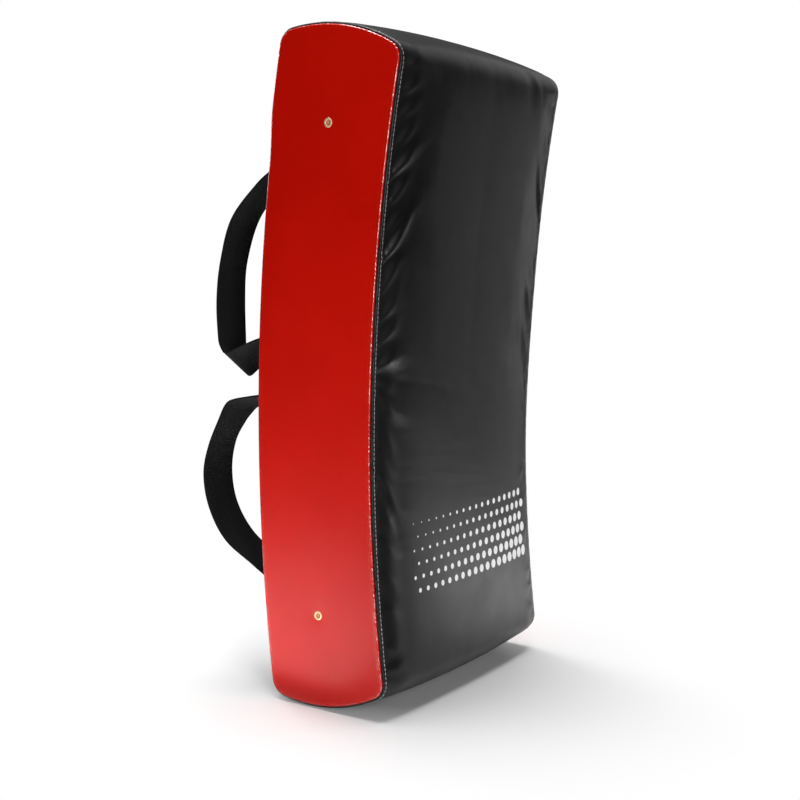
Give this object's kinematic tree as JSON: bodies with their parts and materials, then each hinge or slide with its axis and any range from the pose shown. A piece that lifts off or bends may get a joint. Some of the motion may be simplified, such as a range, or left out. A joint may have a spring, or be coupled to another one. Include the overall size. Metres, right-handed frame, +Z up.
{
  "type": "curved kick shield",
  "caption": "Tall curved foam strike shield in sewn vinyl with red sides, vent eyelets, webbing loop handles on the rounded back and a long back zip.",
  "frame": {"origin": "on the floor under the middle of the pad, in the middle of the flat patch of the lower end that it stands on", "axes": "+Z up along the pad's height, +Y from the hollow strike face towards the handles, +X across the width, to the right as seen from the strike side"},
  "size_m": [0.3472, 0.2742, 0.7247],
  "materials": {
    "black_vinyl": "satin",
    "red_vinyl": "gloss",
    "dense_foam": "matte",
    "soft_foam": "matte",
    "webbing": "matte",
    "lining": "matte",
    "brass": "satin",
    "zip_nylon": "matte",
    "zip_metal": "satin"
  },
  "bodies": {
    "pad": {"foam_strike_layer": "dense_foam", "foam_back_layer": "dense_foam", "foam_core": "soft_foam", "strike_cover": "black_vinyl", "side_panel_left": "red_vinyl", "back_panel_left": "black_vinyl", "back_reinforcement_left": "lining", "eyelet_upper_left": "brass", "eyelet_washer_upper_left": "brass", "eyelet_lower_left": "brass", "eyelet_washer_lower_left": "brass", "handle_top_end_left": "webbing", "handle_middle_left": "webbing", "handle_bottom_end_left": "webbing", "zip_tape_left": "zip_nylon", "side_panel_right": "red_vinyl", "back_panel_right": "black_vinyl", "back_reinforcement_right": "lining", "eyelet_upper_right": "brass", "eyelet_washer_upper_right": "brass", "eyelet_lower_right": "brass", "eyelet_washer_lower_right": "brass", "handle_top_end_right": "webbing", "handle_middle_right": "webbing", "handle_bottom_end_right": "webbing", "zip_tape_right": "zip_nylon", "zip_chain": "zip_nylon", "zip_bottom_stop": "zip_metal", "zip_top_stop": "zip_metal"},
    "upper_left_handle": {"handle_upper_loop_left": "webbing"},
    "lower_left_handle": {"handle_lower_loop_left": "webbing"},
    "upper_right_handle": {"handle_upper_loop_right": "webbing"},
    "lower_right_handle": {"handle_lower_loop_right": "webbing"},
    "zip_slider": {"zip_slider": "zip_metal"},
    "zip_pull": {"zip_pull": "zip_metal"}
  },
  "joints": [
    {"name": "upper_left_handle_sway", "type": "hinge", "parent": "pad", "child": "upper_left_handle", "pos_m": [-0.12, 0.07979, 0.48405], "axis": [0, -0.0541, 0.9985], "range_deg": [-25, 25], "stiffness_Nm_per_rad": 0.02},
    {"name": "lower_left_handle_sway", "type": "hinge", "parent": "pad", "child": "lower_left_handle", "pos_m": [-0.12, 0.07859, 0.22477], "axis": [0, 0.0595, 0.9982], "range_deg": [-25, 25], "stiffness_Nm_per_rad": 0.02},
    {"name": "upper_right_handle_sway", "type": "hinge", "parent": "pad", "child": "upper_right_handle", "pos_m": [0.12, 0.07979, 0.48405], "axis": [0, -0.0541, 0.9985], "range_deg": [-25, 25], "stiffness_Nm_per_rad": 0.02},
    {"name": "lower_right_handle_sway", "type": "hinge", "parent": "pad", "child": "lower_right_handle", "pos_m": [0.12, 0.07859, 0.22477], "axis": [0, 0.0595, 0.9982], "range_deg": [-25, 25], "stiffness_Nm_per_rad": 0.02},
    {"name": "zip_slider_travel", "type": "hinge", "parent": "pad", "child": "zip_slider", "pos_m": [0, -2.2, 0.36062], "axis": [1, 0, 0], "range_deg": [0, 13.7]},
    {"name": "zip_pull_flip", "type": "hinge", "parent": "zip_slider", "child": "zip_pull", "pos_m": [0, 0.05981, 0.08584], "axis": [1, 0, 0], "range_deg": [-8, 165]}
  ]
}
